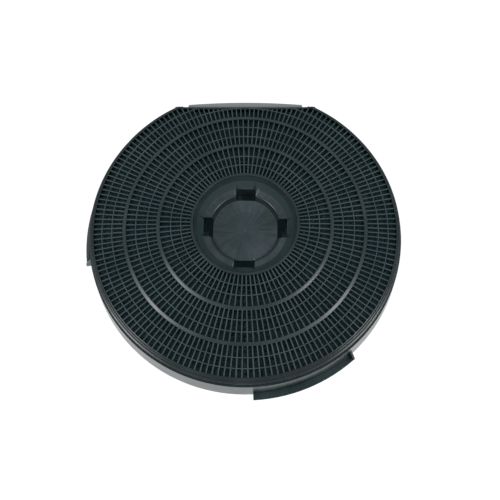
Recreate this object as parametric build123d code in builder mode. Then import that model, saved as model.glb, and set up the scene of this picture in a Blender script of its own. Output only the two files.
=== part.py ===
# Round cooker hood carbon filter cassette with one flat side.
# Millimetres, +Z towards the front grille, +Y towards the flat side.
# The origin is on the hub axis, on the plane of the rear face.
from build123d import *
from math import cos, degrees, radians, sin, sqrt, tan
import os

os.makedirs("parts", exist_ok=True)

# Overall
grille_z = 28.5
wall = 1.6
gap = 0.3
fuse = 0.7

# Front grille: bars, rings and zones
bar_width = 1.2
bar_depth = 2.0
cell_inset = 0.3
bar_azimuth = 271.1
inner_bars = 94
middle_bars = 132
outer_bars = 171
inner_ring_r = 63.5
outer_ring_r = 88.0
ring_width = 2.8

# Front grille: rim and skirt
rim_r = 112.4
rim_width = 2.4
rim_raise = 0.5
rim_edge = 0.35
rim_drop = 3.2
shoulder_width = 2.0
shoulder_edge = 0.8
skirt_wall = 1.5
skirt_z = 17.0
flat_cut = 13.6
flat_bow = 0.75

# Front grille: hub dish
collar_r = 40.2
collar_width = 2.3
dish_wall_r = 36.2
dish_wall_drop = 4.3
plate_r = 31.9
plate_drop = 9.8
cup_mouth_r = 27.4
cup_mouth_drop = 10.6
cup_r = 24.4
cup_drop = 16.0
cup_round = 0.6
windows = 4
window_width = 15.2
window_depth = 7.1
window_azimuth = -1.2

# Rear tray: wall and floor
tray_z = 20.2
tray_flare = 10.65
tray_wall = 1.5
flat_clearance = 0.5
floor_z = 2.4
rear_slot_width = 3.2
rear_inner_slots = 36
rear_outer_slots = 60
rear_ring_r = 77.0
rear_ring_width = 4.0
rear_margin = 7.5

# Rear tray: bowed panel on the flat side
panel_length = 91.0
panel_depth = 2.8
panel_bow = 4.0
panel_slope = 35.0
panel_top_drop = 1.3

# Rear tray: hub sleeve, bayonet lugs and webs
hub_skirt_wall = 1.8
sleeve_wall = 1.8
seat_z = 14.0
lugs = 4
lug_width = 8.8
lug_reach = 5.3
lug_height = 1.6
lug_azimuth = 2.8
web_thickness = 1.6
web_z = 25.0
web_corner = 2.5

# Rear tray: bayonet ledges with their end stops
ledge_azimuths = (34.0, 154.6, 272.7)
ledge_sweep = 37.0
ledge_width = 4.1
ledge_flat_width = 1.5
ledge_height = 3.0
ledge_edge = 1.0
stop_sweep = 0.7
stop_height = 12.5
pocket_sweep = 1.6
pocket_width = 2.2
pocket_depth = 1.6

# Carbon bed
bed_z = 25.2

# Sizes that follow from those above
flare_run = tan(radians(tray_flare))
plate_z = grille_z - bar_depth
crest_z = grille_z + rim_raise
step_z = grille_z - rim_drop
inner_ring_in = inner_ring_r - ring_width / 2
inner_ring_out = inner_ring_r + ring_width / 2
outer_ring_in = outer_ring_r - ring_width / 2
outer_ring_out = outer_ring_r + ring_width / 2
dish_wall_z = grille_z - dish_wall_drop
dish_plate_z = grille_z - plate_drop
cup_mouth_z = grille_z - cup_mouth_drop
cup_z = grille_z - cup_drop
rim_inner_r = rim_r - rim_width
flat_y = rim_r - flat_cut
shoulder_r = rim_r + shoulder_width
skirt_inner_r = shoulder_r - skirt_wall
foot_r = shoulder_r + gap + tray_wall + tray_z * flare_run
foot_flat_y = flat_y + flat_clearance + tray_wall + tray_z * flare_run
ledge_reach = foot_r + ledge_width
ledge_flat_r = foot_r + ledge_flat_width
under_rim_r = rim_r - wall
collar_in = collar_r - collar_width
seat_r = collar_in + gap
socket_wall_r = collar_in - hub_skirt_wall - gap
sleeve_r = socket_wall_r - sleeve_wall
lug_inner_r = sleeve_r - lug_reach
window_reach = cup_r + window_depth
rear_inner_r = seat_r + rear_ring_width
rear_outer_r = foot_r - rear_margin
rear_zones = (
    (rear_inner_r, rear_ring_r - rear_ring_width / 2, rear_inner_slots),
    (rear_ring_r + rear_ring_width / 2, rear_outer_r, rear_outer_slots),
)
dish_under_r = plate_r + wall / 2
dish_under_run = (dish_wall_z - dish_plate_z) / (socket_wall_r + gap - dish_under_r)
sleeve_z = dish_plate_z - wall - gap + (sleeve_r - dish_under_r) * dish_under_run
flat_half = sqrt(rim_r**2 - flat_y**2)
bow_r = (flat_half**2 + flat_bow**2) / (2 * flat_bow)
bow_rise = bow_r - sqrt(bow_r**2 - foot_r**2)
bow_middle_y = flat_y - flat_bow
flat_inside_y = bow_middle_y - wall - gap
panel_reach = foot_flat_y + panel_depth
panel_top_z = grille_z - panel_top_drop
panel_top_y = flat_y + gap
panel_bow_r = ((panel_length / 2) ** 2 + panel_bow**2) / (2 * panel_bow)


# Outer radius of the tray's wall at a height above the rear face
def tray_outer(height):
    return foot_r - height * flare_run


# Distance from the axis to the tray's flat wall at a height
def tray_flat(height):
    return foot_flat_y - height * flare_run


# Vertical plane through the axis, its x along an azimuth
def radial_plane(azimuth):
    turn = radians(azimuth)
    return Plane(origin=(0, 0, 0), x_dir=(cos(turn), sin(turn), 0), z_dir=(sin(turn), -cos(turn), 0))


# D-shaped disc with a straight flat, in the open sketch
def d_disc(radius, flat):
    Circle(radius)
    with Locations((0, flat + radius)):
        Rectangle(2 * radius, 2 * radius, mode=Mode.SUBTRACT)


# Ring of radial cells that leaves bars with parallel sides between them
def bar_cells(count, inner_r, outer_r):
    half_pitch = radians(180 / count)
    half_bar = bar_width / 2 / cos(half_pitch)
    inner_half = inner_r * tan(half_pitch) - half_bar
    outer_half = outer_r * tan(half_pitch) - half_bar
    with PolarLocations(0, count, start_angle=bar_azimuth + degrees(half_pitch)):
        Polygon(
            (inner_r + cell_inset, inner_half),
            (inner_r + cell_inset, -inner_half),
            (outer_r - cell_inset, -outer_half),
            (outer_r - cell_inset, outer_half),
            align=None,
        )


# Everything past the slightly hollow flat of the front moulding
with BuildSketch() as past_flat:
    with BuildLine():
        bow = ThreePointArc((-foot_r, bow_middle_y + bow_rise), (0, bow_middle_y), (foot_r, bow_middle_y + bow_rise))
        Polyline(bow @ 1, (foot_r, 2 * foot_r), (-foot_r, 2 * foot_r), bow @ 0)
    make_face()

# The same, from the inner face of the wall along the flat
with BuildSketch() as past_flat_wall:
    add(past_flat.sketch)
    offset(amount=wall)

# Cells of the front grille, cut off beside the flat
with BuildSketch() as front_cells:
    bar_cells(inner_bars, collar_r, inner_ring_in)
    bar_cells(middle_bars, inner_ring_out, outer_ring_in)
    bar_cells(outer_bars, outer_ring_out, rim_inner_r)
    add(past_flat_wall.sketch, mode=Mode.SUBTRACT)

# Slots of the tray's floor, cut off beside the flat
with BuildSketch() as floor_slots:
    for zone_in, zone_out, count in rear_zones:
        with PolarLocations((zone_in + zone_out) / 2, count, start_angle=bar_azimuth + 180 / count):
            Rectangle(zone_out - zone_in, rear_slot_width)
    with Locations((0, foot_flat_y - rear_margin + foot_r)):
        Rectangle(2 * foot_r, 2 * foot_r, mode=Mode.SUBTRACT)

# Space inside the front moulding, between its hub and its outer wall
with BuildPart() as front_hollow:
    with BuildSketch(Plane.XZ):
        Polygon(
            (collar_in, skirt_z),
            (skirt_inner_r, skirt_z),
            (skirt_inner_r, step_z - wall),
            (under_rim_r, plate_z),
            (collar_in, plate_z),
            align=None,
        )
    revolve(axis=Axis.Z)
    with BuildSketch(Plane.XY.offset(skirt_z)):
        add(past_flat_wall.sketch)
    extrude(amount=plate_z - skirt_z, mode=Mode.SUBTRACT)

# Front moulding: grille, rim, skirt and hub dish in one piece
with BuildPart() as front_grille:
    with BuildSketch(Plane.XZ):
        Polygon(
            (0, cup_z),
            (cup_r, cup_z),
            (cup_mouth_r - cup_round, cup_mouth_z - cup_round),
            (cup_mouth_r + cup_round, cup_mouth_z),
            (plate_r, dish_plate_z),
            (dish_wall_r, dish_wall_z),
            (collar_in, crest_z),
            (rim_r - rim_edge, crest_z),
            (rim_r, crest_z - rim_edge),
            (rim_r + rim_edge, step_z),
            (shoulder_r - shoulder_edge, step_z),
            (shoulder_r, step_z - shoulder_edge),
            (shoulder_r, skirt_z),
            (collar_in, skirt_z),
            (collar_in, seat_z),
            (socket_wall_r + gap, seat_z),
            (socket_wall_r + gap, dish_wall_z - wall),
            (dish_under_r, dish_plate_z - wall),
            (cup_mouth_r, cup_mouth_z - wall),
            (cup_r, cup_z - wall),
            (0, cup_z - wall),
            align=None,
        )
    revolve(axis=Axis.Z)
    # bars and rings lie a little lower than the collar and the rim
    with BuildSketch(Plane.XY.offset(grille_z)):
        Circle(rim_inner_r)
        Circle(collar_r, mode=Mode.SUBTRACT)
    extrude(amount=grille_z, mode=Mode.SUBTRACT)
    # the round shape ends at the flat, and a plain wall closes it there
    with BuildSketch():
        add(past_flat.sketch)
    extrude(amount=2 * grille_z, mode=Mode.SUBTRACT)
    add(front_hollow.part, mode=Mode.SUBTRACT)
    # windows through the dish plate and the cup's wall
    with BuildSketch(Plane.XY.offset(cup_z - wall)):
        with PolarLocations((cup_r + window_reach) / 2, windows, start_angle=window_azimuth):
            Rectangle(window_reach - cup_r, window_width)
    extrude(amount=dish_wall_z - cup_z + wall, mode=Mode.SUBTRACT)
    # cells between the bars
    with BuildSketch(Plane.XY.offset(plate_z - fuse)):
        add(front_cells.sketch)
    extrude(amount=bar_depth + 2 * fuse, mode=Mode.SUBTRACT)
front_grille.part.label = "front_grille"
export_step(front_grille.part, "parts/front_grille.step")


# Block with the section of the panel on the flat side, its outer face bowed
def panel_block(thickness, base_z, inner_y):
    outer_y = panel_reach - thickness
    slope_run = tan(radians(panel_slope))
    top_z = panel_top_z - thickness / cos(radians(panel_slope))
    with BuildPart() as block:
        with BuildSketch(Plane.YZ):
            Polygon(
                (inner_y, base_z),
                (outer_y, base_z),
                (outer_y, top_z - (outer_y - panel_top_y) * slope_run),
                (panel_top_y, top_z),
                (inner_y, top_z),
                align=None,
            )
        extrude(amount=panel_length / 2 - thickness, both=True)
        with BuildSketch(Plane.XY.offset(base_z)):
            with Locations((0, panel_reach - panel_bow_r)):
                Circle(panel_bow_r - thickness)
        extrude(amount=panel_top_z - base_z, mode=Mode.INTERSECT)
    return block.part


panel_body = panel_block(0, 0, panel_top_y)
panel_hollow = panel_block(tray_wall, floor_z, flat_inside_y)

# Rear moulding: flared wall, slotted floor, sleeve, webs, ledges and panel in one piece
with BuildPart() as rear_tray:
    with BuildSketch():
        d_disc(foot_r, foot_flat_y)
    extrude(amount=tray_z, taper=tray_flare)
    # bayonet ledges, each with an end stop and a small pocket beside it
    for start in ledge_azimuths:
        stop_start = start + ledge_sweep - stop_sweep
        with BuildSketch(radial_plane(start)):
            Polygon(
                (foot_r - fuse, 0),
                (ledge_reach, 0),
                (ledge_reach, ledge_edge),
                (ledge_flat_r, ledge_height),
                (tray_outer(ledge_height) - fuse, ledge_height),
                align=None,
            )
        revolve(axis=Axis.Z, revolution_arc=ledge_sweep)
        with BuildSketch(radial_plane(stop_start)):
            Polygon(
                (foot_r - fuse, 0),
                (ledge_reach, 0),
                (ledge_reach, ledge_height),
                (tray_outer(stop_height), stop_height),
                (tray_outer(stop_height) - fuse, stop_height),
                align=None,
            )
        revolve(axis=Axis.Z, revolution_arc=stop_sweep)
        with BuildSketch(radial_plane(stop_start - pocket_sweep)):
            with Locations((foot_r, ledge_height)):
                Rectangle(pocket_width, pocket_depth, align=(Align.MIN, Align.MAX))
        revolve(axis=Axis.Z, revolution_arc=pocket_sweep, mode=Mode.SUBTRACT)
    # the ledge that meets the flat side ends there
    with BuildSketch():
        with Locations((0, foot_flat_y + foot_r)):
            Rectangle(2 * ledge_reach, 2 * foot_r)
    extrude(amount=tray_z, mode=Mode.SUBTRACT)
    add(panel_body)
    # inside of the tray
    with BuildSketch(Plane.XY.offset(floor_z)):
        d_disc(tray_outer(floor_z) - tray_wall, tray_flat(floor_z) - tray_wall)
    extrude(amount=tray_z - floor_z, taper=tray_flare, mode=Mode.SUBTRACT)
    add(panel_hollow, mode=Mode.SUBTRACT)
    # slots of the floor
    with BuildSketch():
        add(floor_slots.sketch)
    extrude(amount=floor_z, mode=Mode.SUBTRACT)
    # hub sleeve with the seat for the front moulding's hub skirt
    with BuildSketch(Plane.XZ):
        Polygon(
            (sleeve_r, 0),
            (seat_r, 0),
            (seat_r, seat_z),
            (socket_wall_r, seat_z),
            (socket_wall_r, sleeve_z),
            (sleeve_r, sleeve_z),
            align=None,
        )
    revolve(axis=Axis.Z)
    with BuildSketch():
        Circle(sleeve_r)
    extrude(amount=sleeve_z, mode=Mode.SUBTRACT)
    # bayonet lugs at the mouth of the socket
    with BuildSketch():
        with PolarLocations((lug_inner_r + sleeve_r + fuse) / 2, lugs, start_angle=lug_azimuth):
            Rectangle(sleeve_r + fuse - lug_inner_r, lug_width)
    extrude(amount=lug_height)
    # webs that part the carbon into chambers, clear of the front skirt
    for azimuth in (0, 180, 270):
        with BuildSketch(radial_plane(azimuth)):
            Polygon(
                (seat_r - fuse, floor_z - fuse),
                (tray_outer(floor_z - fuse) - fuse, floor_z - fuse),
                (tray_outer(skirt_z - gap) - fuse, skirt_z - gap),
                (skirt_inner_r - gap, skirt_z - gap),
                (skirt_inner_r - gap, web_z - web_corner),
                (under_rim_r - gap, web_z),
                (seat_r, web_z),
                (seat_r, seat_z - gap),
                (seat_r - fuse, seat_z - gap),
                align=None,
            )
        extrude(amount=web_thickness / 2, both=True)
    with BuildSketch(Plane.YZ):
        Polygon(
            (seat_r - fuse, floor_z - fuse),
            (flat_inside_y, floor_z - fuse),
            (flat_inside_y, web_z),
            (seat_r, web_z),
            (seat_r, seat_z - gap),
            (seat_r - fuse, seat_z - gap),
            align=None,
        )
    extrude(amount=web_thickness / 2, both=True)
rear_tray.part.label = "rear_tray"
export_step(rear_tray.part, "parts/rear_tray.step")

# Carbon granules, packed into the chambers between the webs
with BuildPart() as carbon_bed:
    with BuildSketch(Plane.XY.offset(floor_z)):
        d_disc(tray_outer(floor_z) - tray_wall - gap, tray_flat(floor_z) - tray_wall - gap)
    extrude(amount=skirt_z - gap - floor_z, taper=tray_flare)
    with BuildSketch(Plane.XY.offset(floor_z)):
        d_disc(under_rim_r - gap, flat_inside_y)
    extrude(amount=bed_z - floor_z)
    with BuildSketch(Plane.XY.offset(floor_z)):
        Circle(seat_r + gap)
        Rectangle(2 * foot_r, web_thickness + 2 * gap)
        Rectangle(web_thickness + 2 * gap, 2 * foot_r)
    extrude(amount=bed_z - floor_z, mode=Mode.SUBTRACT)
carbon_bed.part.label = "carbon_bed"
export_step(carbon_bed.part, "parts/carbon_bed.step")
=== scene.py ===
import bpy
import bmesh
import math
import random
import time
from mathutils import Matrix, Vector


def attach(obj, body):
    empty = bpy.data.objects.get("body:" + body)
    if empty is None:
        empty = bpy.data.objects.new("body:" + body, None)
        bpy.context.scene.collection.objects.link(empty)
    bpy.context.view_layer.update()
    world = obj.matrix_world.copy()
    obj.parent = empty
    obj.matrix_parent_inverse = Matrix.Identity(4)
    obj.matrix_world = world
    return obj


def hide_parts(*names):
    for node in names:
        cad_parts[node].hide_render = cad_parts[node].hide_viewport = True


startTime = time.time()
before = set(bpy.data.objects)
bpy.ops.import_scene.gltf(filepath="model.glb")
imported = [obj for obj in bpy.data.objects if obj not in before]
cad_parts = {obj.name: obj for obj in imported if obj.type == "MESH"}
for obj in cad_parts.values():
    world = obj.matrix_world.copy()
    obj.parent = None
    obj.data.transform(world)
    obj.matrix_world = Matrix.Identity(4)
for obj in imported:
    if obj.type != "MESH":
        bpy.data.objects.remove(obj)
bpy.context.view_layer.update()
perMetre = 1000  # sizes are in millimetres unless a note says metres, meshes in metres


def say(text):
    print("%5.1f s  %s" % (time.time() - startTime, text))


say("frame loaded")

# Levels and lines that several pieces share
body = {
    "crestZ": 29.0,  # top of the rim and the collar
    "grilleZ": 28.5,  # top of the bars and of the wall along the flat
    "barFootZ": 26.5,
    "stepZ": 25.3,  # step outside the rim
    "skirtZ": 17.0,  # lower edge of the skirt
    "wall": 1.6,
    "flatY": 98.8,  # flat side at its corners
    "flatBow": 0.75,  # how far the flat's middle lies inwards
    "flatHalf": 53.6,
    "flatGap": 0.8,  # bars and thin rings end this far inside the flat
}
barEnd = body["flatY"] - body["flatBow"] - body["flatGap"]


# Points (x, y) along the hollow flat
def flatLine(half, steps):
    line = []
    for i in range(steps + 1):
        x = -half + 2 * half * i / steps
        line.append((x, body["flatY"] - body["flatBow"] * (1 - (x / body["flatHalf"]) ** 2)))
    return line


# Meshes: a profile is a list of (radius, height, rounding)
def roundedLoop(points, steps=4):
    loop = []
    for i, (r, z, rounding) in enumerate(points):
        corner = Vector((r, z))
        before = Vector(points[i - 1][:2]) - corner
        after = Vector(points[(i + 1) % len(points)][:2]) - corner
        if rounding <= 0 or r <= 0:
            loop.append(corner)
            continue
        reach = min(rounding, before.length * 0.45, after.length * 0.45)
        first = corner + before.normalized() * reach
        last = corner + after.normalized() * reach
        for k in range(steps + 1):
            u = k / steps
            loop.append(first * (1 - u) ** 2 + corner * 2 * u * (1 - u) + last * u * u)
    return loop


# Side faces between two closed rows of vertices
def bridge(mesh, a, b):
    for i in range(len(a)):
        j = (i + 1) % len(a)
        mesh.faces.new((a[i], a[j], b[j], b[i]))


def tubeInto(mesh, rows):
    for a, b in zip(rows, rows[1:]):
        bridge(mesh, a, b)
    mesh.faces.new(rows[0])
    mesh.faces.new(rows[-1])


def prismInto(mesh, outline, low, high):
    lower, upper = [
        [mesh.verts.new((x / perMetre, y / perMetre, z / perMetre)) for x, y in outline]
        for z in (low, high)
    ]
    mesh.faces.new(lower[::-1])
    mesh.faces.new(upper)
    bridge(mesh, lower, upper)


def latheInto(mesh, loop, segments, start=0.0, end=360.0, material=0):
    full = abs(end - start) >= 359.99
    rings = segments if full else segments + 1
    rows = []
    for s in range(rings):
        angle = math.radians(start + (end - start) * s / segments)
        c, n = math.cos(angle), math.sin(angle)
        rows.append([
            mesh.verts.new((p.x * c / perMetre, p.x * n / perMetre, p.y / perMetre)) for p in loop
        ])
    for s in range(segments):
        a, b = rows[s], rows[(s + 1) % rings]
        for i in range(len(loop)):
            j = (i + 1) % len(loop)
            if loop[i].x < 1e-6 and loop[j].x < 1e-6:  # on the axis itself
                continue
            face = mesh.faces.new((a[i], a[j], b[j], b[i]))
            face.material_index = material
            face.smooth = True
    if not full:  # caps at both ends
        for row in (rows[0], rows[-1]):
            mesh.faces.new(row).material_index = material


def finishMesh(mesh, name, materials):
    bmesh.ops.remove_doubles(mesh, verts=mesh.verts, dist=1e-7)
    bmesh.ops.recalc_face_normals(mesh, faces=mesh.faces)
    data = bpy.data.meshes.new(name)
    mesh.to_mesh(data)
    mesh.free()
    for material in materials:
        data.materials.append(material)
    thing = bpy.data.objects.new(name, data)
    bpy.context.scene.collection.objects.link(thing)
    return thing


def bakeModifiers(thing):
    depsgraph = bpy.context.evaluated_depsgraph_get()
    data = bpy.data.meshes.new_from_object(thing.evaluated_get(depsgraph))
    thing.modifiers.clear()
    old = thing.data
    thing.data = data
    bpy.data.meshes.remove(old)


def cutWith(thing, cutter):
    modifier = thing.modifiers.new("cut", "BOOLEAN")
    modifier.operation = "DIFFERENCE"
    modifier.solver = "EXACT"
    modifier.object = cutter
    bakeModifiers(thing)
    bpy.data.objects.remove(cutter)


def sharpen(thing, degrees):
    thing.data.polygons.foreach_set("use_smooth", [True] * len(thing.data.polygons))
    thing.data.set_sharp_from_angle(angle=math.radians(degrees))


def joinInto(target, others):
    mesh = bmesh.new()
    mesh.from_mesh(target.data)
    names = [m.name for m in target.data.materials]
    for other in others:
        slots = []
        for material in other.data.materials:
            if material is None:  # an empty slot
                slots.append(0)
                continue
            if material.name not in names:
                names.append(material.name)
                target.data.materials.append(material)
            slots.append(names.index(material.name))
        first = len(mesh.faces)
        mesh.from_mesh(other.data)
        mesh.faces.ensure_lookup_table()
        for face in mesh.faces[first:]:
            face.material_index = slots[face.material_index]
        bpy.data.objects.remove(other)
    mesh.to_mesh(target.data)
    mesh.free()


# Nodes, for shaders and Geometry Nodes alike
def addNode(tree, kind, **settings):
    node = tree.nodes.new(kind)
    for key, value in settings.items():
        setattr(node, key, value)
    return node


def link(tree, source, node, socket):
    tree.links.new(source, node.inputs[socket])


def addSocket(tree, way, kind, name, value=None):
    socket = tree.interface.new_socket(name, in_out=way, socket_type="NodeSocket" + kind)
    if value is not None:
        socket.default_value = value


def newMaterial(name):
    material = bpy.data.materials.new(name)
    material.use_nodes = True
    return material, material.node_tree, material.node_tree.nodes["Principled BSDF"]


def mathNode(tree, operation, a, b=None, clamp=False):
    node = addNode(tree, "ShaderNodeMath", operation=operation, use_clamp=clamp)
    for socket, value in ((0, a), (1, b)):
        if value is None:
            continue
        if isinstance(value, (int, float)):
            node.inputs[socket].default_value = value
        else:
            link(tree, value, node, socket)
    return node.outputs[0]


def rampNode(tree, source, low, high):
    node = addNode(tree, "ShaderNodeMapRange", clamp=True)
    link(tree, source, node, "Value")
    node.inputs["From Min"].default_value = low
    node.inputs["From Max"].default_value = high
    return node.outputs["Result"]


def noiseNode(tree, place, detail):
    node = addNode(tree, "ShaderNodeTexNoise")
    node.inputs["Detail"].default_value = detail
    link(tree, place, node, "Vector")
    return node


def mixNode(tree, mask, first, second, blendType="MIX"):
    node = addNode(tree, "ShaderNodeMix", data_type="RGBA", blend_type=blendType)
    link(tree, mask, node, 0)
    for socket, value in ((6, first), (7, second)):
        if isinstance(value, tuple):
            node.inputs[socket].default_value = (*value, 1)
        else:
            link(tree, value, node, socket)
    return node.outputs[2]


# The place without its height, and its distance from the hub's axis
def axisNodes(tree, place):
    flatten = addNode(tree, "ShaderNodeVectorMath", operation="MULTIPLY")
    link(tree, place, flatten, 0)
    flatten.inputs[1].default_value = (1, 1, 0)
    length = addNode(tree, "ShaderNodeVectorMath", operation="LENGTH")
    link(tree, flatten.outputs[0], length, 0)
    return flatten.outputs[0], length.outputs["Value"]


def facingUp(tree, low, high):
    geometry = addNode(tree, "ShaderNodeNewGeometry")
    split = addNode(tree, "ShaderNodeSeparateXYZ")
    link(tree, geometry.outputs["Normal"], split, 0)
    return rampNode(tree, split.outputs["Z"], low, high)


def bumpInto(tree, shader, height, strength, distance):
    bump = addNode(tree, "ShaderNodeBump")
    bump.inputs["Strength"].default_value = strength
    bump.inputs["Distance"].default_value = distance
    link(tree, height, bump, "Height")
    link(tree, bump.outputs["Normal"], shader, "Normal")


# Shader group: uneven colour, roughness and height of moulded plastic, with dust
mouldedLook = {
    "colours": {
        "Deep": (0.0020, 0.0110, 0.0130),
        "Pale": (0.0080, 0.0200, 0.0225),
        "Dust Colour": (0.16, 0.17, 0.165),
    },
    "amounts": {"Roughness": 0.33, "Dust": 0.25, "Mottle Scale": 60.0, "Grain Scale": 2600.0},
    "mottleRange": (0.35, 0.75),  # noise from the deep to the pale colour
    "dustRange": (0.45, 0.8),  # noise where dust gathers in patches
    "dustUp": (0.55, 0.98),  # dust lies on faces that look up
    "speckScale": 420,
    "speckSize": 0.09,
    "speckWeight": 0.5,
    "mottleRoughness": 0.22,
    "dustRoughness": 0.35,
    "bump": 0.08,
    "bumpHeight": 0.0002,  # in metres
}


def mouldedGroup(look):
    group = bpy.data.node_groups.new("Moulded Surface", "ShaderNodeTree")
    for name, value in look["colours"].items():
        addSocket(group, "INPUT", "Color", name, (*value, 1))
    for name, value in look["amounts"].items():
        addSocket(group, "INPUT", "Float", name, value)
    addSocket(group, "OUTPUT", "Color", "Color")
    addSocket(group, "OUTPUT", "Float", "Roughness")
    addSocket(group, "OUTPUT", "Float", "Height")
    inside = addNode(group, "NodeGroupInput").outputs
    out = addNode(group, "NodeGroupOutput")
    place = addNode(group, "ShaderNodeTexCoord").outputs["Object"]
    mottle = noiseNode(group, place, 6)
    link(group, inside["Mottle Scale"], mottle, "Scale")
    grain = noiseNode(group, place, 3)
    link(group, inside["Grain Scale"], grain, "Scale")
    speck = addNode(group, "ShaderNodeTexVoronoi")
    speck.inputs["Scale"].default_value = look["speckScale"]
    link(group, place, speck, "Vector")
    cloud = mottle.outputs["Fac"]
    mottled = rampNode(group, cloud, *look["mottleRange"])
    shade = mixNode(group, mottled, inside["Deep"], inside["Pale"])

    up = facingUp(group, *look["dustUp"])
    spots = mathNode(group, "LESS_THAN", speck.outputs["Distance"], look["speckSize"])
    spots = mathNode(group, "MULTIPLY", spots, look["speckWeight"])
    patches = mathNode(group, "ADD", spots, rampNode(group, cloud, *look["dustRange"]))
    film = mathNode(group, "MULTIPLY", patches, up)
    dust = mathNode(group, "MULTIPLY", film, inside["Dust"], clamp=True)
    link(group, mixNode(group, dust, shade, inside["Dust Colour"]), out, "Color")

    uneven = mathNode(group, "SUBTRACT", cloud, 0.5)
    uneven = mathNode(group, "MULTIPLY", uneven, look["mottleRoughness"])
    rough = mathNode(group, "ADD", inside["Roughness"], uneven)
    dull = mathNode(group, "MULTIPLY", dust, look["dustRoughness"])
    link(group, mathNode(group, "ADD", rough, dull, clamp=True), out, "Roughness")

    fine = mathNode(group, "MULTIPLY", grain.outputs["Fac"], 0.5)
    coarse = mathNode(group, "MULTIPLY", cloud, 0.5)
    link(group, mathNode(group, "ADD", fine, coarse), out, "Height")
    return group


moulded = mouldedGroup(mouldedLook)

# Shader group: radial flow streaks and soft tinted patches round the gate
flowLook = {
    "amounts": {"Streaks": 5.0, "Radial Scale": 45.0, "Patch Scale": 42.0},
    "streakScale": 1.6,
    "streakRange": (0.38, 0.72),
    "patchRange": (0.42, 0.68),
}


def flowGroup(look):
    group = bpy.data.node_groups.new("Flow Marks", "ShaderNodeTree")
    for name, value in look["amounts"].items():
        addSocket(group, "INPUT", "Float", name, value)
    addSocket(group, "OUTPUT", "Float", "Streak")
    addSocket(group, "OUTPUT", "Float", "Patch")
    inside = addNode(group, "NodeGroupInput").outputs
    out = addNode(group, "NodeGroupOutput")
    place = addNode(group, "ShaderNodeTexCoord").outputs["Object"]
    flatPlace, distance = axisNodes(group, place)
    unit = addNode(group, "ShaderNodeVectorMath", operation="NORMALIZE")
    link(group, flatPlace, unit, 0)
    around = addNode(group, "ShaderNodeVectorMath", operation="SCALE")
    link(group, unit.outputs[0], around, 0)
    link(group, inside["Streaks"], around, "Scale")
    outward = addNode(group, "ShaderNodeCombineXYZ")
    link(group, mathNode(group, "MULTIPLY", distance, inside["Radial Scale"]), outward, 2)
    total = addNode(group, "ShaderNodeVectorMath", operation="ADD")
    link(group, around.outputs[0], total, 0)
    link(group, outward.outputs[0], total, 1)
    streak = noiseNode(group, total.outputs[0], 4)
    streak.inputs["Scale"].default_value = look["streakScale"]
    patch = noiseNode(group, place, 3)
    link(group, inside["Patch Scale"], patch, "Scale")
    link(group, rampNode(group, streak.outputs["Fac"], *look["streakRange"]), out, "Streak")
    link(group, rampNode(group, patch.outputs["Fac"], *look["patchRange"]), out, "Patch")
    return group


flow = flowGroup(flowLook)

# Plastics: keys in capitals set the group's inputs, the others the shader and its tints
plastics = {
    # painted sheen: the bars and thin rings get a paler colour than the rest of the moulding,
    # standing in for light on their tops
    "grille": {
        "Roughness": 0.34,
        "Dust": 0.08,
        "Deep": (0.020, 0.036, 0.039),
        "Pale": (0.034, 0.052, 0.055),
    },
    # painted shade: the rim, the flat wall, the collar and the cup's mouth get a darker colour
    # than the rest of the moulding
    "rim": {
        "Roughness": 0.27,
        "Dust": 0.03,
        "Deep": (0.0010, 0.0060, 0.0075),
        "Pale": (0.0040, 0.0110, 0.0125),
    },
    "ring": {"Roughness": 0.3, "Dust": 0.05},
    "hub": {
        "Roughness": 0.5,
        "Dust": 0.12,
        "Mottle Scale": 35.0,
        "Deep": (0.0005, 0.0075, 0.0090),
        "Pale": (0.0120, 0.0250, 0.0280),
        "streakTint": (0.014, 0.018, 0.018),
        "patchTint": (0.005, 0.003, 0.010),
    },
    # painted light: the cup's wall and the slope up to the collar get a paler colour than the rest
    # of the moulding
    "slope": {
        "Roughness": 0.42,
        "Dust": 0.08,
        "Deep": (0.015, 0.028, 0.030),
        "Pale": (0.024, 0.038, 0.041),
    },
    "tray": {
        "Roughness": 0.25,
        "Dust": 0.05,
        "specular": 0.33,
        # painted sheen: a paler colour on the top of the panel along the flat, standing in for a
        # reflection
        "panelSheenTint": (0.085, 0.088, 0.090),
        "panelEdge": (0.0992, 0.1032),  # in metres, from the flat towards the outer edge
        "panelUp": (0.5, 0.8),
        # painted light: a paler colour on the lugs and the sleeve behind the windows
        "socketLightTint": (0.040, 0.046, 0.047),
        "socketReach": 0.036,  # in metres
    },
    "burr": {
        "Roughness": 0.4,
        "Dust": 0.2,
        "Deep": (0.15, 0.17, 0.17),
        "Pale": (0.26, 0.28, 0.28),
    },
}


# Tints to add to the plain plastic, as pairs of mask and colour: real flow marks, and painted
# light on the tray
def tintsOf(tree, values):
    tints = []
    if "streakTint" in values:
        marks = addNode(tree, "ShaderNodeGroup", node_tree=flow)
        tints.append((marks.outputs["Streak"], values["streakTint"]))
        tints.append((marks.outputs["Patch"], values["patchTint"]))
    if "panelSheenTint" in values:
        place = addNode(tree, "ShaderNodeTexCoord").outputs["Object"]
        split = addNode(tree, "ShaderNodeSeparateXYZ")
        link(tree, place, split, 0)
        # painted sheen: the top of the bowed panel is painted paler towards its outer edge,
        # standing in for a reflection
        edge = rampNode(tree, split.outputs["Y"], *values["panelEdge"])
        top = mathNode(tree, "MULTIPLY", edge, facingUp(tree, *values["panelUp"]))
        tints.append((top, values["panelSheenTint"]))
        # painted light: the lugs and the sleeve behind the windows are painted paler, as if lit
        # through the windows
        distance = axisNodes(tree, place)[1]
        socket = mathNode(tree, "LESS_THAN", distance, values["socketReach"])
        tints.append((socket, values["socketLightTint"]))
    return tints


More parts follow.
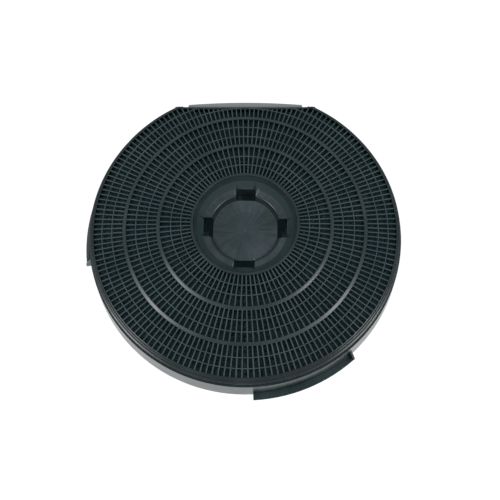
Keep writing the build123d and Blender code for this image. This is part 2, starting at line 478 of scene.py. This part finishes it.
def plasticMaterial(name, values):
    material, tree, shader = newMaterial(name)
    shader.inputs["Specular IOR Level"].default_value = values.get("specular", 0.5)
    surface = addNode(tree, "ShaderNodeGroup", node_tree=moulded)
    for key in ("Roughness", "Dust", "Mottle Scale"):
        if key in values:
            surface.inputs[key].default_value = values[key]
    for key in ("Deep", "Pale"):
        if key in values:
            surface.inputs[key].default_value = (*values[key], 1)
    paint = surface.outputs["Color"]
    for mask, tint in tintsOf(tree, values):
        paint = mixNode(tree, mask, paint, tint, "ADD")
    link(tree, paint, shader, "Base Color")
    link(tree, surface.outputs["Roughness"], shader, "Roughness")
    height = surface.outputs["Height"]
    bumpInto(tree, shader, height, mouldedLook["bump"], mouldedLook["bumpHeight"])
    return material


plastic = {name: plasticMaterial(name + "_plastic", values) for name, values in plastics.items()}

carbonLook = {
    "deep": (0.0070, 0.0200, 0.0240),
    "pale": (0.0130, 0.0290, 0.0330),
    "cellScale": 420,
    "pitScale": 1500,
    "pitWeight": 0.4,
    "roughRange": (0.1, 1.1),
    "specular": 0.15,
    "bump": 0.6,
    "bumpHeight": 0.0004,  # in metres
}


def carbonMaterial(look):
    material, tree, shader = newMaterial("carbon_granules")
    shader.inputs["Specular IOR Level"].default_value = look["specular"]
    place = addNode(tree, "ShaderNodeTexCoord").outputs["Object"]
    cells = addNode(tree, "ShaderNodeTexVoronoi")
    cells.inputs["Scale"].default_value = look["cellScale"]
    link(tree, place, cells, "Vector")
    pits = noiseNode(tree, place, 5)
    pits.inputs["Scale"].default_value = look["pitScale"]
    shade = mixNode(tree, cells.outputs["Color"], look["deep"], look["pale"])
    link(tree, shade, shader, "Base Color")
    link(tree, rampNode(tree, pits.outputs["Fac"], *look["roughRange"]), shader, "Roughness")
    pitHeight = mathNode(tree, "MULTIPLY", pits.outputs["Fac"], look["pitWeight"])
    height = mathNode(tree, "ADD", cells.outputs["Distance"], pitHeight)
    bumpInto(tree, shader, height, look["bump"], look["bumpHeight"])
    return material


carbon = carbonMaterial(carbonLook)
say("materials")

# Front moulding: rim and skirt, cut along the flat
rim = {
    "segments": 360,
    "profile": (
        (110.4, body["barFootZ"], 0.2),
        (110.4, body["crestZ"], 0.05),  # inner crest
        (110.9, 28.87, 0.05),
        (110.95, 28.62, 0.1),  # groove between the crests
        (111.75, 28.62, 0.1),
        (111.8, 28.87, 0.05),
        (112.45, 28.7, 0.15),  # outer crest
        (112.65, body["stepZ"], 0.1),
        (113.45, body["stepZ"], 0.1),
        (114.62, 25.05, 0.35),  # shoulder
        (114.62, body["skirtZ"], 0.2),
        (112.9, body["skirtZ"], 0.2),
        (112.9, 23.7, 0.3),
        (110.8, body["barFootZ"], 0.1),
    ),
    "cutHalf": 75.0,
    "cutSteps": 40,
    "cutFar": 140.0,
    "cutLow": 5.0,
    "cutHigh": 40.0,
}
mesh = bmesh.new()
latheInto(mesh, roundedLoop(rim["profile"]), rim["segments"])
frontShell = finishMesh(mesh, "front_moulding", [plastic["rim"]])
mesh = bmesh.new()
outline = flatLine(rim["cutHalf"], rim["cutSteps"])
outline += [(rim["cutHalf"], rim["cutFar"]), (-rim["cutHalf"], rim["cutFar"])]
prismInto(mesh, outline, rim["cutLow"], rim["cutHigh"])
cutWith(frontShell, finishMesh(mesh, "flat_cutter", []))
say("rim")

# Wall along the flat, with softened top edges; its profile is (depth, height, rounding)
flatSide = {
    "half": 55.6,
    "steps": 60,
    "profile": (
        (0.0001, body["grilleZ"], 0.35),  # just off zero, because a corner at zero isn't rounded
        (body["wall"], body["grilleZ"], 0.2),
        (body["wall"], body["skirtZ"], 0.2),
        (0.0001, body["skirtZ"], 0.2),
    ),
}
mesh = bmesh.new()
section = roundedLoop(flatSide["profile"], 3)
rows = []
for x, y in flatLine(flatSide["half"], flatSide["steps"]):
    rows.append([
        mesh.verts.new((x / perMetre, (y - p.x) / perMetre, p.y / perMetre)) for p in section
    ])
tubeInto(mesh, rows)
flatWall = finishMesh(mesh, "flat_wall", [plastic["rim"]])
say("flat wall")

# Hub dish with its cup and windows
hub = {
    "segments": 240,
    "profile": (
        (0.0, 12.7, 0),
        (15.6, 12.62, 0.3),
        (16.1, 12.74, 0.3),  # faint step in the cup's floor
        (24.1, 12.54, 0.2),
        (24.6, 12.78, 0.2),  # bead round the floor
        (25.2, 12.5, 0.3),
        (26.25, 17.7, 1.0),  # mouth of the cup
        (27.9, 18.25, 0.5),
        (31.9, 18.7, 0.25),  # plate, then the slope up to the collar
        (36.2, 24.2, 0.3),
        (37.9, 28.5, 0.3),
        (38.2, body["crestZ"], 0.35),
        (40.2, body["crestZ"], 0.45),
        (40.2, body["barFootZ"], 0.1),
        (37.9, body["barFootZ"], 0.3),
        (37.9, 14.0, 0.2),
        (36.1, 14.0, 0.2),
        (36.1, 22.6, 0.5),
        (32.7, 17.1, 0.5),
        (27.4, 16.3, 0.5),
        (25.7, 10.9, 0.6),
        (0.0, 10.9, 0),
    ),
    "wallFrom": 25.0,
    "wallAbove": 12.2,
    "mouthFrom": 25.8,
    "mouthTo": 27.9,
    "slopeFrom": 31.9,
    "slopeAbove": 18.5,
    "collarFrom": 37.2,
    "windowWidth": 15.2,
    "windowIn": 24.4,
    "windowOut": 31.5,
    "windowLow": 10.0,
    "windowHigh": 22.6,
    "windowCorner": 0.5,
    "turn": -1.2,
}
mesh = bmesh.new()
latheInto(mesh, roundedLoop(hub["profile"]), hub["segments"])
for face in mesh.faces:
    spot = face.calc_center_median() * perMetre
    reach = spot.xy.length
    onWall = hub["wallFrom"] < reach <= hub["mouthFrom"] and spot.z > hub["wallAbove"]
    onSlope = reach > hub["slopeFrom"] and spot.z > hub["slopeAbove"]
    if hub["mouthFrom"] < reach < hub["mouthTo"] or reach > hub["collarFrom"]:
        face.material_index = 1  # the mouth and the collar are the glossiest, and painted darker as painted shade
    elif onWall or onSlope:
        # painted light: the cup's wall and the slope take the paler slope plastic
        face.material_index = 2
hubDish = finishMesh(mesh, "hub_dish", [plastic["hub"], plastic["rim"], plastic["slope"]])


# Outline of a window with its corners cut off, turned by an angle
def windowOutline(angle):
    c, n = math.cos(angle), math.sin(angle)
    half, corner = hub["windowWidth"] / 2, hub["windowCorner"]
    outline = []
    for u, v, su, sv in (
        (hub["windowIn"], -half, 1, 1),
        (hub["windowOut"], -half, -1, 1),
        (hub["windowOut"], half, -1, -1),
        (hub["windowIn"], half, 1, -1),
    ):
        one, two = (u, v + sv * corner), (u + su * corner, v)
        outline += [one, two] if su * sv > 0 else [two, one]
    return [(u * c - v * n, u * n + v * c) for u, v in outline]


mesh = bmesh.new()
for k in range(4):
    outline = windowOutline(math.radians(90 * k + hub["turn"]))
    prismInto(mesh, outline, hub["windowLow"], hub["windowHigh"])
cutWith(hubDish, finishMesh(mesh, "window_cutter", []))

# Burrs at the windows, the gate mark, and two fine ribs on the cup's floor
burrs = {
    "wide": 0.28,
    "tip": 0.5,  # share of the width at the ends
    "crown": 0.6,  # share of the width at the top
    "lift": 0.8,
    "strands": (
        ((8.2, 25.6, 18.3), (8.5, 27.4, 18.6), (10.0, 29.8, 18.8), (11.2, 33.6, 21.4)),
        ((11.2, 33.6, 21.4), (11.6, 32.2, 20.0), (12.0, 31.4, 19.4)),
        ((-8.6, 30.0, 18.8), (-8.4, 27.4, 18.6)),
        ((5.9, -22.9, 12.8), (6.8, -23.4, 13.0), (7.6, -24.0, 13.1)),
        ((-9.5, -30.8, 18.9), (-8.9, -28.9, 18.7), (-8.6, -27.7, 18.5)),
        ((-0.45, -0.3, 12.8), (-0.3, -0.9, 12.95), (0.2, -0.85, 12.9)),  # gate mark
    ),
    "ribs": ((-19.5, -10.5, -1.9), (9.5, 19.5, 0.4)),  # from x, to x, y
    "ribHalf": 0.15,
    "ribTaper": 0.3,
    "ribLow": 12.4,
    "ribHigh": 12.9,
}
mesh = bmesh.new()
for strand in burrs["strands"]:
    last = len(strand) - 1
    rows = []
    for i, spot in enumerate(strand):
        ahead, behind = Vector(strand[min(i + 1, last)]), Vector(strand[max(i - 1, 0)])
        side = (ahead - behind).normalized().cross(Vector((0, 0, 1))).normalized()
        side = side * burrs["wide"] * (1.0 if 0 < i < last else burrs["tip"])
        lift = Vector((0, 0, burrs["wide"] * burrs["lift"]))
        edges = (
            -side - lift * 2,
            -side * burrs["crown"] + lift,
            side * burrs["crown"] + lift,
            side - lift * 2,
        )
        rows.append([mesh.verts.new((Vector(spot) + edge) / perMetre) for edge in edges])
    tubeInto(mesh, rows)
burrSet = finishMesh(mesh, "hub_burrs", [plastic["burr"]])
mesh = bmesh.new()
for x0, x1, y in burrs["ribs"]:
    half, taper = burrs["ribHalf"], burrs["ribTaper"]
    outline = [(x0, y - half), (x1, y - half), (x1 - taper, y + half), (x0 + taper, y + half)]
    prismInto(mesh, outline, burrs["ribLow"], burrs["ribHigh"])
ribSet = finishMesh(mesh, "hub_ribs", [plastic["hub"]])
say("hub")

# Rings: two wide ones between the zones, six thin ones across the bars
rings = {
    "wide": (63.5, 88.0),
    "wideSegments": 300,
    "wideProfile": (  # from the ring's radius
        (-1.0, body["barFootZ"], 0),
        (-1.0, 28.85, 0.3),
        (-0.75, 28.95, 0.15),
        (1.75, 28.3, 0.3),
        (1.8, body["barFootZ"], 0),
    ),
    "thin": (47.3, 54.6, 71.9, 80.1, 97.3, 104.5),
    "thinSegments": 240,
    "thinHalf": 0.4,
    "thinFootZ": 27.1,
    "crownHalf": 0.32,
    "crownZ": 28.8,
    "crownDrop": 0.2,
}
mesh = bmesh.new()
for r in rings["wide"]:
    profile = [(r + u, z, rounding) for u, z, rounding in rings["wideProfile"]]
    latheInto(mesh, roundedLoop(profile), rings["wideSegments"])
for r in rings["thin"]:
    start, end = 0.0, 360.0
    if r > barEnd:
        edge = math.degrees(math.asin(barEnd / r))
        start, end = 180 - edge, 360 + edge
    profile = [(r - rings["thinHalf"], rings["thinFootZ"], 0)]
    for u in (-1, -0.6, -0.25, 0.25, 0.6, 1):
        height = rings["crownZ"] - rings["crownDrop"] * u * u
        profile.append((r + rings["crownHalf"] * u, height, 0))
    profile.append((r + rings["thinHalf"], rings["thinFootZ"], 0))
    latheInto(mesh, roundedLoop(profile), rings["thinSegments"], start, end, 1)
ringSet = finishMesh(mesh, "grille_rings", [plastic["ring"], plastic["grille"]])
say("rings")


# Copies on points, made real, with their material
def copiesOut(tree, inside, points, rotation, scale):
    copies = addNode(tree, "GeometryNodeInstanceOnPoints")
    link(tree, points, copies, "Points")
    link(tree, inside["Geometry"], copies, "Instance")
    link(tree, rotation, copies, "Rotation")
    link(tree, scale, copies, "Scale")
    real = addNode(tree, "GeometryNodeRealizeInstances")
    link(tree, copies.outputs["Instances"], real, "Geometry")
    paint = addNode(tree, "GeometryNodeSetMaterial")
    link(tree, real.outputs["Geometry"], paint, "Geometry")
    link(tree, inside["Material"], paint, "Material")
    link(tree, paint.outputs["Geometry"], addNode(tree, "NodeGroupOutput"), "Geometry")


# Geometry Nodes: radial bars with rounded tops, cut short along the flat
def barTree():
    tree = bpy.data.node_groups.new("Radial Bars", "GeometryNodeTree")
    addSocket(tree, "INPUT", "Geometry", "Geometry")
    addSocket(tree, "INPUT", "Int", "Count")
    for name in ("Inner Radius", "Outer Radius", "First Azimuth", "Flat Distance", "Level"):
        addSocket(tree, "INPUT", "Float", name)
    addSocket(tree, "INPUT", "Material", "Material")
    addSocket(tree, "OUTPUT", "Geometry", "Geometry")
    inside = addNode(tree, "NodeGroupInput").outputs
    circle = addNode(tree, "GeometryNodeMeshCircle")
    link(tree, inside["Count"], circle, "Vertices")
    index = addNode(tree, "GeometryNodeInputIndex")
    step = mathNode(tree, "DIVIDE", 2 * math.pi, inside["Count"])
    angle = mathNode(tree, "MULTIPLY", index.outputs[0], step)
    angle = mathNode(tree, "ADD", angle, inside["First Azimuth"])
    cosine, sine = mathNode(tree, "COSINE", angle), mathNode(tree, "SINE", angle)
    limit = mathNode(tree, "MAXIMUM", sine, 0.0001)
    limit = mathNode(tree, "DIVIDE", inside["Flat Distance"], limit)
    farEnd = mathNode(tree, "MINIMUM", inside["Outer Radius"], limit)
    length = mathNode(tree, "SUBTRACT", farEnd, inside["Inner Radius"])
    place = addNode(tree, "ShaderNodeCombineXYZ")
    link(tree, mathNode(tree, "MULTIPLY", cosine, inside["Inner Radius"]), place, 0)
    link(tree, mathNode(tree, "MULTIPLY", sine, inside["Inner Radius"]), place, 1)
    link(tree, inside["Level"], place, 2)
    move = addNode(tree, "GeometryNodeSetPosition")
    link(tree, circle.outputs["Mesh"], move, "Geometry")
    link(tree, place.outputs[0], move, "Position")
    turn = addNode(tree, "ShaderNodeCombineXYZ")
    link(tree, angle, turn, 2)
    scale = addNode(tree, "ShaderNodeCombineXYZ")
    link(tree, length, scale, 0)
    scale.inputs[1].default_value = 1
    scale.inputs[2].default_value = 1
    copiesOut(tree, inside, move.outputs["Geometry"], turn.outputs[0], scale.outputs[0])
    return tree


def growTree(thing, tree, values):
    modifier = thing.modifiers.new("grow", "NODES")
    modifier.node_group = tree
    inputs = [item for item in tree.interface.items_tree if item.in_out == "INPUT"]
    keys = {item.name: item.identifier for item in inputs}
    for name, value in values.items():
        modifier[keys[name]] = value
    bakeModifiers(thing)


bars = {
    "half": 0.52,
    "depth": 2.0,
    "soft": 0.2,
    "draft": 0.1,
    "azimuth": 271.1,  # of the first bar
    "zones": ((94, 39.9, 62.6), (132, 64.8, 87.2), (171, 89.6, 110.6)),  # count, from, to
}


# A bar along X, one metre long, that the tree scales to its length
def unitBar(name):
    half, depth, soft, draft = bars["half"], bars["depth"], bars["soft"], bars["draft"]
    section = roundedLoop([  # set off by 1, because a corner at zero isn't rounded
        (1 + half, 0, 0),
        (1 + half - draft, depth, soft),
        (1 - half + draft, depth, soft),
        (1 - half, 0, 0),
    ], 3)
    mesh = bmesh.new()
    near, far = [
        [mesh.verts.new((x, (p.x - 1) / perMetre, p.y / perMetre)) for p in section]
        for x in (0, 1)
    ]
    bridge(mesh, near, far)
    mesh.faces.new(near[::-1])
    mesh.faces.new(far)
    return finishMesh(mesh, name, [])


radialBars = barTree()
barObjects = []
for count, inner, outer in bars["zones"]:
    thing = unitBar("bars_%d" % count)
    growTree(thing, radialBars, {
        "Count": count,
        "Inner Radius": inner / perMetre,
        "Outer Radius": outer / perMetre,
        "First Azimuth": math.radians(bars["azimuth"]),
        "Flat Distance": barEnd / perMetre,
        "Level": body["barFootZ"] / perMetre,
        "Material": plastic["grille"],
    })
    barObjects.append(thing)
say("bars")

# Edges sharper than the angle stay hard: the rim's crests are told apart at 8 degrees
for thing, degrees in ((hubDish, 40), (frontShell, 8), (flatWall, 40), (ringSet, 40)):
    sharpen(thing, degrees)
for thing in barObjects:
    sharpen(thing, 50)
joinInto(frontShell, [flatWall, hubDish, burrSet, ribSet, ringSet] + barObjects)
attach(frontShell, "root")
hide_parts("front_grille")
say("front moulding joined, %d faces" % len(frontShell.data.polygons))

# Granules: two beds under the grille and one over the slots of the rear
granules = {
    "radius": 1.5,
    "uneven": (0.72, 1.18),
    "smallest": (0.7, 0.7, 0.6),
    "largest": (1.3, 1.2, 1.05),
    "turn": (6.283, 6.283, 6.283),
    "inner": 40.2,
    "flat": 94.5,
    "spread": 0.3,  # up and down
    "jitter": 0.9,  # sideways
    "beds": {
        "top": {"level": 24.75, "rows": 84, "seed": 11, "reach": 108.5},
        "hub": {"level": 25.5, "rows": 42, "seed": 37, "reach": 53.5},
        "bottom": {"level": 3.4, "rows": 74, "seed": 23, "reach": 108.5},
    },
}


# Geometry Nodes: a jittered grid of granules, kept off the hub, the wall and the flat
def granuleTree():
    tree = bpy.data.node_groups.new("Granule Fill", "GeometryNodeTree")
    addSocket(tree, "INPUT", "Geometry", "Geometry")
    lengths = ("Inner Radius", "Outer Radius", "Flat Distance", "Level", "Level Spread", "Jitter")
    for name in lengths:
        addSocket(tree, "INPUT", "Float", name)
    for name in ("Rows", "Seed"):
        addSocket(tree, "INPUT", "Int", name)
    addSocket(tree, "INPUT", "Material", "Material")
    addSocket(tree, "OUTPUT", "Geometry", "Geometry")
    inside = addNode(tree, "NodeGroupInput").outputs
    width = mathNode(tree, "MULTIPLY", inside["Outer Radius"], 2)
    grid = addNode(tree, "GeometryNodeMeshGrid")
    for socket in ("Size X", "Size Y"):
        link(tree, width, grid, socket)
    for socket in ("Vertices X", "Vertices Y"):
        link(tree, inside["Rows"], grid, socket)
    spread = addNode(tree, "ShaderNodeCombineXYZ")
    for socket, name in ((0, "Jitter"), (1, "Jitter"), (2, "Level Spread")):
        link(tree, inside[name], spread, socket)
    less = addNode(tree, "ShaderNodeVectorMath", operation="SCALE")
    link(tree, spread.outputs[0], less, 0)
    less.inputs["Scale"].default_value = -1
    shift = addNode(tree, "FunctionNodeRandomValue", data_type="FLOAT_VECTOR")
    link(tree, less.outputs[0], shift, "Min")
    link(tree, spread.outputs[0], shift, "Max")
    link(tree, inside["Seed"], shift, "Seed")
    lift = addNode(tree, "ShaderNodeCombineXYZ")
    link(tree, inside["Level"], lift, 2)
    total = addNode(tree, "ShaderNodeVectorMath", operation="ADD")
    link(tree, shift.outputs["Value"], total, 0)
    link(tree, lift.outputs[0], total, 1)
    move = addNode(tree, "GeometryNodeSetPosition")
    link(tree, grid.outputs["Mesh"], move, "Geometry")
    link(tree, total.outputs[0], move, "Offset")

    place = addNode(tree, "GeometryNodeInputPosition")
    split = addNode(tree, "ShaderNodeSeparateXYZ")
    link(tree, place.outputs[0], split, 0)
    squares = [mathNode(tree, "POWER", split.outputs[axis], 2.0) for axis in (0, 1)]
    radius = mathNode(tree, "SQRT", mathNode(tree, "ADD", *squares))
    beyond = mathNode(tree, "GREATER_THAN", radius, inside["Outer Radius"])
    within = mathNode(tree, "LESS_THAN", radius, inside["Inner Radius"])
    past = mathNode(tree, "GREATER_THAN", split.outputs[1], inside["Flat Distance"])
    gone = mathNode(tree, "MAXIMUM", mathNode(tree, "MAXIMUM", beyond, within), past)
    keep = addNode(tree, "GeometryNodeDeleteGeometry", domain="POINT")
    link(tree, move.outputs["Geometry"], keep, "Geometry")
    link(tree, gone, keep, "Selection")

    turn = addNode(tree, "FunctionNodeRandomValue", data_type="FLOAT_VECTOR")
    turn.inputs["Max"].default_value = granules["turn"]
    link(tree, mathNode(tree, "ADD", inside["Seed"], 3), turn, "Seed")
    size = addNode(tree, "FunctionNodeRandomValue", data_type="FLOAT_VECTOR")
    size.inputs["Min"].default_value = granules["smallest"]
    size.inputs["Max"].default_value = granules["largest"]
    link(tree, mathNode(tree, "ADD", inside["Seed"], 7), size, "Seed")
    copiesOut(tree, inside, keep.outputs["Geometry"], turn.outputs["Value"], size.outputs["Value"])
    return tree


def granuleMesh(name, seed):
    chance = random.Random(seed)
    mesh = bmesh.new()
    bmesh.ops.create_icosphere(mesh, subdivisions=1, radius=granules["radius"] / perMetre)
    for vertex in mesh.verts:
        vertex.co *= chance.uniform(*granules["uneven"])
    return finishMesh(mesh, name, [])


granuleFill = granuleTree()
for part, bed in granules["beds"].items():
    thing = granuleMesh("granules_" + part, bed["seed"])
    growTree(thing, granuleFill, {
        "Inner Radius": granules["inner"] / perMetre,
        "Outer Radius": bed["reach"] / perMetre,
        "Flat Distance": granules["flat"] / perMetre,
        "Level": bed["level"] / perMetre,
        "Level Spread": granules["spread"] / perMetre,
        "Jitter": granules["jitter"] / perMetre,
        "Rows": bed["rows"],
        "Seed": bed["seed"],
        "Material": carbon,
    })
    sharpen(thing, 10)
    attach(thing, "root")
    say("granules %s, %d faces" % (part, len(thing.data.polygons)))

# Materials of the solids that stay
for node, material in (("rear_tray", plastic["tray"]), ("carbon_bed", carbon)):
    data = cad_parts[node].data
    data.materials.clear()
    data.materials.append(material)
    data.polygons.foreach_set("material_index", [0] * len(data.polygons))

# Floor, light and camera
stageLook = {
    "floor": 0.15,
    "floorGlow": 0.93,
    "floorSize": 12.0,  # in metres, from the middle
    "floorDrop": 0.0002,  # in metres, clears the part's rear face
    "footprintShadow": (0.004, 0.008, 0.009),  # painted shadow: nearly dark under the part
    "footprintEdge": (0.108, 0.116),  # in metres
    "world": 0.74,
    "worldColour": (0.87, 1.0, 1.02),
}
mesh = bmesh.new()
bmesh.ops.create_grid(mesh, x_segments=1, y_segments=1, size=stageLook["floorSize"])
floorPaint, tree, shader = newMaterial("pale_floor")
shader.inputs["Roughness"].default_value = 0.9
shader.inputs["Specular IOR Level"].default_value = 0.0
place = addNode(tree, "ShaderNodeTexCoord")
away = addNode(tree, "ShaderNodeVectorMath", operation="LENGTH")
link(tree, place.outputs["Object"], away, 0)
# painted shadow: colour and glow of the floor fall to the dark footprint colour under the part
lit = rampNode(tree, away.outputs["Value"], *stageLook["footprintEdge"])
for level, socket in ((stageLook["floor"], "Base Color"), (1.0, "Emission Color")):
    link(tree, mixNode(tree, lit, stageLook["footprintShadow"], (level,) * 3), shader, socket)
shader.inputs["Emission Strength"].default_value = stageLook["floorGlow"]
floor = finishMesh(mesh, "floor", [floorPaint])
floor.location.z = -stageLook["floorDrop"]

world = bpy.data.worlds.new("studio")
world.use_nodes = True
background = world.node_tree.nodes["Background"]
background.inputs["Color"].default_value = (*stageLook["worldColour"], 1)
background.inputs["Strength"].default_value = stageLook["world"]
bpy.context.scene.world = world

lamps = {
    "left": {"azimuth": 198, "elevation": 54, "distance": 1.55, "size": 0.4, "power": 6.0},
    "right": {"azimuth": 342, "elevation": 54, "distance": 1.55, "size": 0.4, "power": 5.3},
}
for name, values in lamps.items():
    a, e = math.radians(values["azimuth"]), math.radians(values["elevation"])
    data = bpy.data.lights.new("lamp_" + name, "AREA")
    data.shape = "DISK"
    data.size = values["size"]
    data.energy = values["power"]
    lamp = bpy.data.objects.new("lamp_" + name, data)
    direction = Vector((math.cos(a) * math.cos(e), math.sin(a) * math.cos(e), math.sin(e)))
    lamp.location = direction * values["distance"]
    lamp.rotation_euler = direction.to_track_quat("Z", "Y").to_euler()
    bpy.context.scene.collection.objects.link(lamp)

view = {
    "lens": 35.87,
    "sensor": 36,
    "near": 0.01,
    "place": (0, -0.13382, 0.36855),
    "axes": ((0.9998, 0.0195, -0.0087), (-0.0212, 0.9491, -0.3143), (0.0021, 0.3144, 0.9493)),
    "turn": 1.13,  # the flat side lies square to Y
}
camera = bpy.data.objects.new("camera", bpy.data.cameras.new("camera"))
camera.data.lens = view["lens"]
camera.data.sensor_width = view["sensor"]
camera.data.clip_start = view["near"]
turned = Matrix.Rotation(math.radians(view["turn"]), 4, "Z")
aimed = Matrix(view["axes"]).to_quaternion().to_matrix().to_4x4()
camera.matrix_world = turned @ Matrix.Translation(Vector(view["place"])) @ aimed
bpy.context.scene.collection.objects.link(camera)
bpy.context.scene.camera = camera
bpy.context.scene.view_settings.view_transform = "Standard"
bpy.context.scene.view_settings.look = "None"
say("stage")
